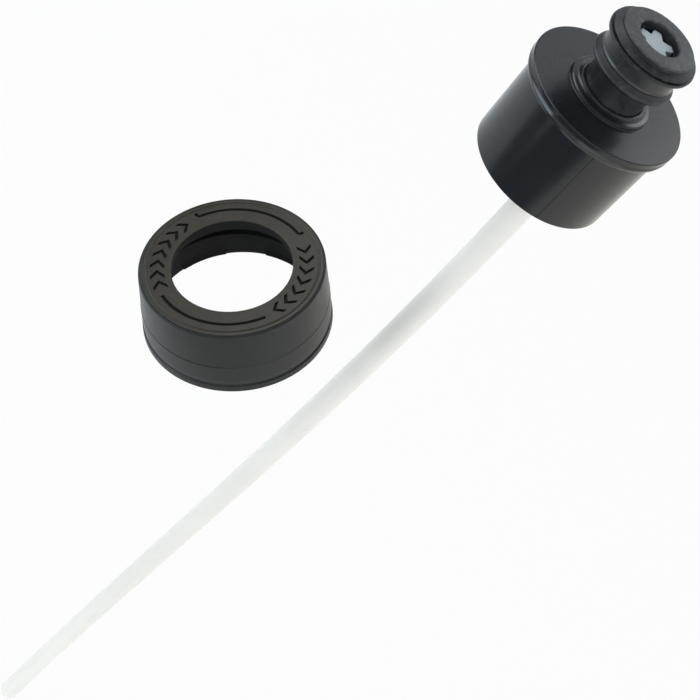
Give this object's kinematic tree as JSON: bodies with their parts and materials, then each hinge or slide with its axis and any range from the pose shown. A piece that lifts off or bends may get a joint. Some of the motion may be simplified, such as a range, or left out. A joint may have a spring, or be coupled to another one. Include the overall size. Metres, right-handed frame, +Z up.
{
  "type": "bottle insert valve",
  "caption": "Closed-loop bottle insert: moulded body with a spring-closed star poppet nozzle, ball check valve, curved dip tube and a loose screw-on ring cap.",
  "frame": {"origin": "centre of the flange's underside, the plane that sits on the rim of the bottle's neck", "axes": "+Z up along the nozzle and out of the bottle, -Z down the dip tube; +X is the side that the dip tube's socket is offset to; the ring cap lies apart on the -X -Y side"},
  "size_m": [0.0683, 0.0772, 0.3447],
  "materials": {
    "black_plastic": "satin moulded polypropylene, glossier on the skirt and stem",
    "cap_plastic": "satin moulded polypropylene, slightly warm grey-black",
    "black_rubber": "matte moulded rubber",
    "white_plastic": "natural white acetal, slightly waxy",
    "tube_plastic": "milky translucent polyethylene",
    "spring_steel": "bright stainless steel"
  },
  "bodies": {
    "insert": {"insert_body": "black_plastic", "vent_valve": "black_rubber", "nozzle": "black_plastic", "nose_seal": "black_rubber", "lower_seal": "black_rubber", "return_spring": "spring_steel", "spring_retainer": "white_plastic", "nozzle_o_ring": "black_rubber", "housing_o_ring": "black_rubber", "lower_housing": "black_plastic", "ball_cage": "white_plastic", "dip_tube": "tube_plastic"},
    "poppet": {"poppet": "white_plastic", "poppet_seal": "black_rubber"},
    "check_ball": {"check_ball": "spring_steel"},
    "ring_cap": {"ring_cap": "cap_plastic"}
  },
  "joints": [
    {"name": "poppet_press", "type": "slide", "parent": "insert", "child": "poppet", "axis": [0, 0, -1], "range_m": [0, 0.004], "stiffness_N_per_m": 500, "springref_m": -0.004, "deforming": ["return_spring"]},
    {"name": "ball_lift", "type": "slide", "parent": "insert", "child": "check_ball", "axis": [0, 0, 1], "range_m": [0, 0.0014]},
    {"name": "cap_turn", "type": "hinge", "parent": "insert", "child": "ring_cap", "pos_m": [-0.03326, -0.04077, -0.0621], "axis": [-0.4343, -0.2441, 0.867], "continuous": true}
  ]
}
